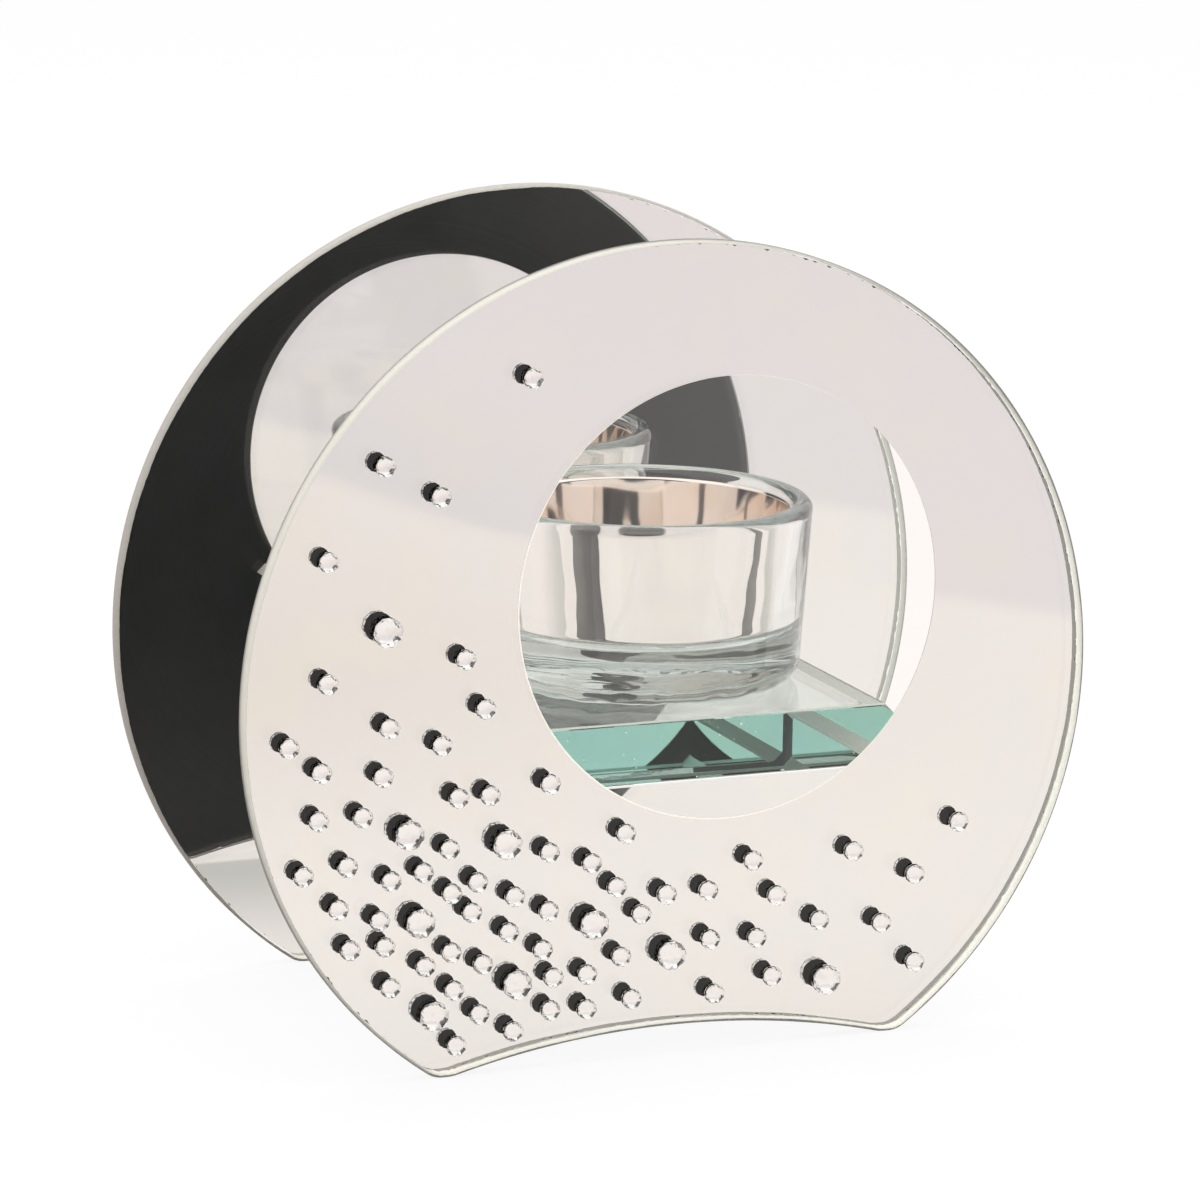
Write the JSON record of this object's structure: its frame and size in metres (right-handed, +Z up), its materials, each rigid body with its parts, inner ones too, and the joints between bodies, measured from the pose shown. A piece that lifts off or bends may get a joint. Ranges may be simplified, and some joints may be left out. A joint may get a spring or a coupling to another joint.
{
  "type": "tealight holder",
  "caption": "Round mirrored glass tealight holder: two arched-foot mirror discs, a glass shelf block, a lift-out silvered glass cup and scattered crystals.",
  "frame": {"origin": "on the ground, at the middle of the whole object's box", "axes": "+Z up, -Y towards the front mirror's face, +X to the right seen from the front"},
  "size_m": [0.15, 0.0766, 0.1372],
  "materials": {
    "pane_glass": "clear float glass, ground edges with small arrises",
    "mirror_silver": "bright mirror silver",
    "black_paint": "satin black backing paint",
    "shelf_glass": "thick float glass, green along its depth",
    "clear_adhesive": "clear cured adhesive with a few bubbles",
    "cup_glass": "clear pressed glass, slightly wavy",
    "cup_silver": "bright silver lining",
    "crystal": "faceted clear crystal with a dark flat back"
  },
  "bodies": {
    "holder": {"front_glass_pane": "pane_glass", "front_silver_coat": "mirror_silver", "front_black_paint": "black_paint", "rear_glass_pane": "pane_glass", "rear_silver_coat": "mirror_silver", "rear_black_paint": "black_paint", "shelf_block": "shelf_glass", "front_bond_film": "clear_adhesive", "rear_bond_film": "clear_adhesive", "large_crystal_01": "crystal", "large_crystal_02": "crystal", "large_crystal_03": "crystal", "large_crystal_04": "crystal", "large_crystal_05": "crystal", "large_crystal_06": "crystal", "large_crystal_07": "crystal", "large_crystal_08": "crystal", "large_crystal_09": "crystal", "small_crystal_01": "crystal", "small_crystal_02": "crystal", "small_crystal_03": "crystal", "small_crystal_04": "crystal", "small_crystal_05": "crystal", "small_crystal_06": "crystal", "small_crystal_07": "crystal", "small_crystal_08": "crystal", "small_crystal_09": "crystal", "small_crystal_10": "crystal", "small_crystal_11": "crystal", "small_crystal_12": "crystal", "small_crystal_13": "crystal", "small_crystal_14": "crystal", "small_crystal_15": "crystal", "small_crystal_16": "crystal", "small_crystal_17": "crystal", "small_crystal_18": "crystal", "small_crystal_19": "crystal", "small_crystal_20": "crystal", "small_crystal_21": "crystal", "small_crystal_22": "crystal", "small_crystal_23": "crystal", "small_crystal_24": "crystal", "small_crystal_25": "crystal", "small_crystal_26": "crystal", "small_crystal_27": "crystal", "small_crystal_28": "crystal", "small_crystal_29": "crystal", "small_crystal_30": "crystal", "small_crystal_31": "crystal", "small_crystal_32": "crystal", "small_crystal_33": "crystal", "small_crystal_34": "crystal", "small_crystal_35": "crystal", "small_crystal_36": "crystal", "small_crystal_37": "crystal", "small_crystal_38": "crystal", "small_crystal_39": "crystal", "small_crystal_40": "crystal"},
    "cup": {"tealight_cup": "cup_glass", "cup_silver_lining": "cup_silver"}
  },
  "joints": [
    {"name": "cup_lift", "type": "slide", "parent": "holder", "child": "cup", "axis": [0, 0, 1], "range_m": [0, 0.085]}
  ]
}
